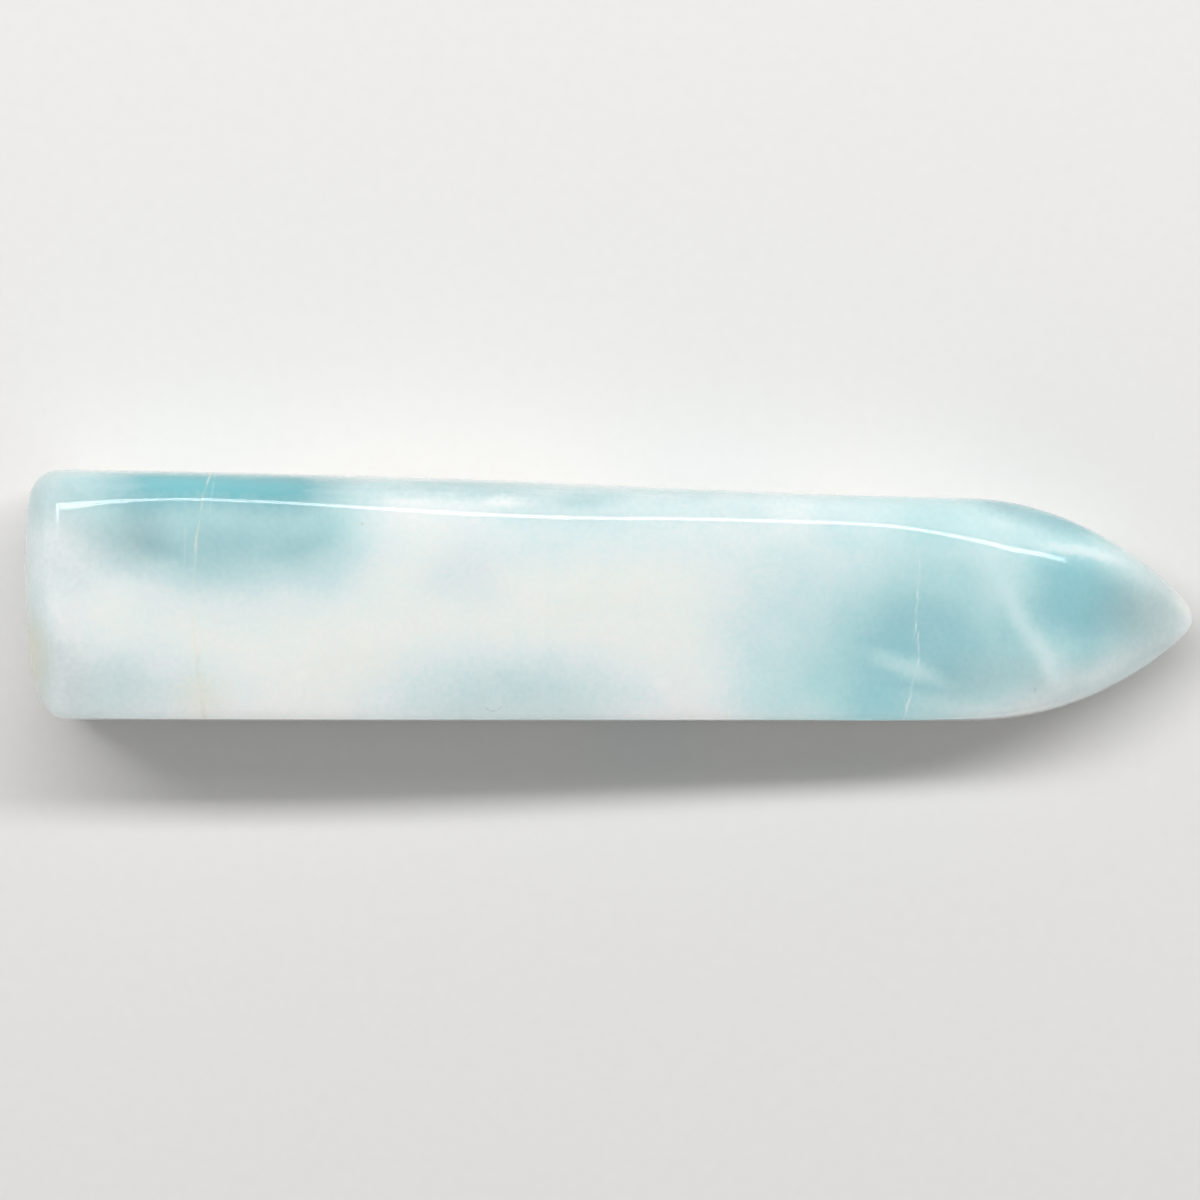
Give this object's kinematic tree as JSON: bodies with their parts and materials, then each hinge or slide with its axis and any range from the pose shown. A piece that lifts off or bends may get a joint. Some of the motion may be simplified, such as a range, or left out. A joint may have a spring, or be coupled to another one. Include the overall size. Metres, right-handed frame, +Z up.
{
  "type": "larimar massage wand",
  "caption": "Polished larimar massage wand: a slim squared bar with softly rounded edges, a domed butt and a blunt ogive point, lying on its flat underside.",
  "frame": {"origin": "on the surface that the wand lies on, below the middle of its bounding box", "axes": "+X along the wand from its butt to its point, +Z up, +Y to the side that is far from the viewer when the point is on the right"},
  "size_m": [0.1, 0.0216, 0.0194],
  "materials": {
    "stone": "polished pale blue stone with white clouds and a few thin veins"
  },
  "bodies": {
    "root": {"wand": "stone"}
  },
  "joints": []
}
